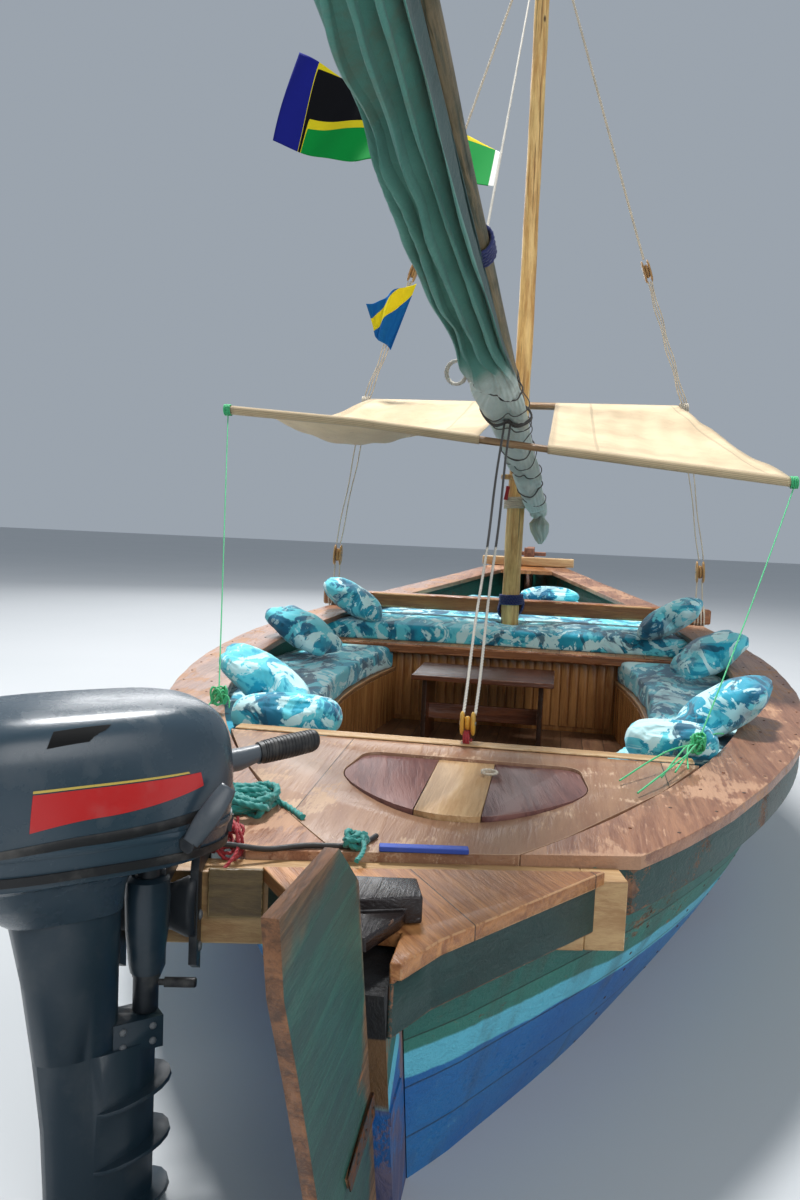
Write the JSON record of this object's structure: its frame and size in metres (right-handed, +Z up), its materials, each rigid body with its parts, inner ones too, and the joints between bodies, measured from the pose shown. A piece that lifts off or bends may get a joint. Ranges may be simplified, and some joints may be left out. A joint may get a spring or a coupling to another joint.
{
  "type": "dhow sailing boat",
  "caption": "Open wooden sailing boat with pointed stern, lateen yard lowered as a boom with furled sail, awning, cushioned benches and an outboard motor on a cross beam.",
  "frame": {"origin": "on the waterline plane, on the centreline, at mid-length of the rail", "axes": "+X to starboard, +Y to the bow, +Z up"},
  "size_m": [2.4934, 10.5904, 5.475],
  "materials": {
    "topside_paint": "scuffed green paint on planks",
    "bottom_paint": "blue bottom paint",
    "strake_paint": "dark green paint, worn",
    "rail_wood": "worn reddish brown",
    "deck_wood": "worn bare boards",
    "varnished_wood": "varnished",
    "pine": "raw pine",
    "black_paint": "black paint",
    "spar_wood": "smooth log with knots",
    "yard_wood": "weathered pole",
    "rope": "twisted natural rope",
    "hose_rubber": "matt black rubber",
    "awning_canvas": "cream canvas",
    "sailcloth": "pale green cotton, stained",
    "cushion_fabric": "printed cotton",
    "cowl_paint": "satin dark blue grey",
    "motor_paint": "satin dark blue grey",
    "motor_dark": "satin black",
    "propeller_metal": "satin black"
  },
  "bodies": {
    "hull": {"planking_port": "topside_paint", "planking_starboard": "topside_paint", "sternpost": "topside_paint", "keel": "bottom_paint", "rubbing_strake_port": "strake_paint", "rubbing_strake_starboard": "strake_paint", "cap_rail_port": "rail_wood", "cap_rail_starboard": "rail_wood", "stem": "rail_wood", "stern_boards": "rail_wood", "bow_deck": "rail_wood", "bow_post": "rail_wood", "aft_deck": "deck_wood", "sole": "deck_wood", "platform": "deck_wood", "bench_top_port": "varnished_wood", "bench_top_starboard": "varnished_wood", "bench_front_port": "varnished_wood", "bench_front_starboard": "varnished_wood", "slatted_wall": "varnished_wood", "table": "varnished_wood", "crossbeam": "varnished_wood", "hatch_bearers": "pine", "aft_wall": "pine", "motor_beam": "pine", "bow_beam": "pine", "sternpost_head": "black_paint", "mast": "spar_wood", "awning_pole_fore": "spar_wood", "awning_pole_aft": "spar_wood", "shroud_port": "rope", "shroud_starboard": "rope", "yard_parrel": "rope", "fuel_hose": "hose_rubber", "awning": "awning_canvas", "seat_pad_port": "cushion_fabric", "seat_pad_starboard": "cushion_fabric", "platform_pad": "cushion_fabric", "bolster_port": "cushion_fabric", "bolster_starboard": "cushion_fabric", "pillow_port_aft": "cushion_fabric", "pillow_port_middle": "cushion_fabric", "pillow_port_fore": "cushion_fabric", "pillow_starboard_aft": "cushion_fabric", "pillow_starboard_middle": "cushion_fabric", "pillow_starboard_fore": "cushion_fabric", "pillow_bow": "cushion_fabric", "motor_clamp": "motor_dark"},
    "rudder": {"rudder": "topside_paint"},
    "hatch": {"hatch_cover": "deck_wood"},
    "yard": {"yard": "yard_wood", "furled_sail": "sailcloth"},
    "motor_swivel": {"motor_swivel": "motor_dark"},
    "motor": {"motor_cowl": "cowl_paint", "motor_pan": "motor_paint", "motor_leg": "motor_paint", "tiller": "motor_dark"},
    "propeller": {"propeller": "propeller_metal"}
  },
  "joints": [
    {"name": "rudder_turn", "type": "hinge", "parent": "hull", "child": "rudder", "pos_m": [0, -3.7822, 0], "axis": [0, -0.3778, 0.9259], "range_deg": [-35, 35]},
    {"name": "hatch_lift", "type": "slide", "parent": "hull", "child": "hatch", "axis": [0, 0, 1], "range_m": [0, 0.25]},
    {"name": "yard_top", "type": "hinge", "parent": "hull", "child": "yard", "pos_m": [0.13, 0.3, 1.45], "axis": [-1, 0, 0], "range_deg": [0, 35]},
    {"name": "motor_tilt", "type": "hinge", "parent": "hull", "child": "motor_swivel", "pos_m": [-0.48244, -3.66305, 0.645], "axis": [-0.9781, -0.2079, 0], "range_deg": [0, 60]},
    {"name": "motor_steer", "type": "hinge", "parent": "motor_swivel", "child": "motor", "pos_m": [-0.45458, -3.79413, 0.5], "axis": [0, 0, 1], "range_deg": [0, 75]},
    {"name": "propeller_spin", "type": "hinge", "parent": "motor", "child": "propeller", "pos_m": [-0.6371, -3.95847, -0.205], "axis": [0.7431, 0.6691, 0], "continuous": true}
  ]
}
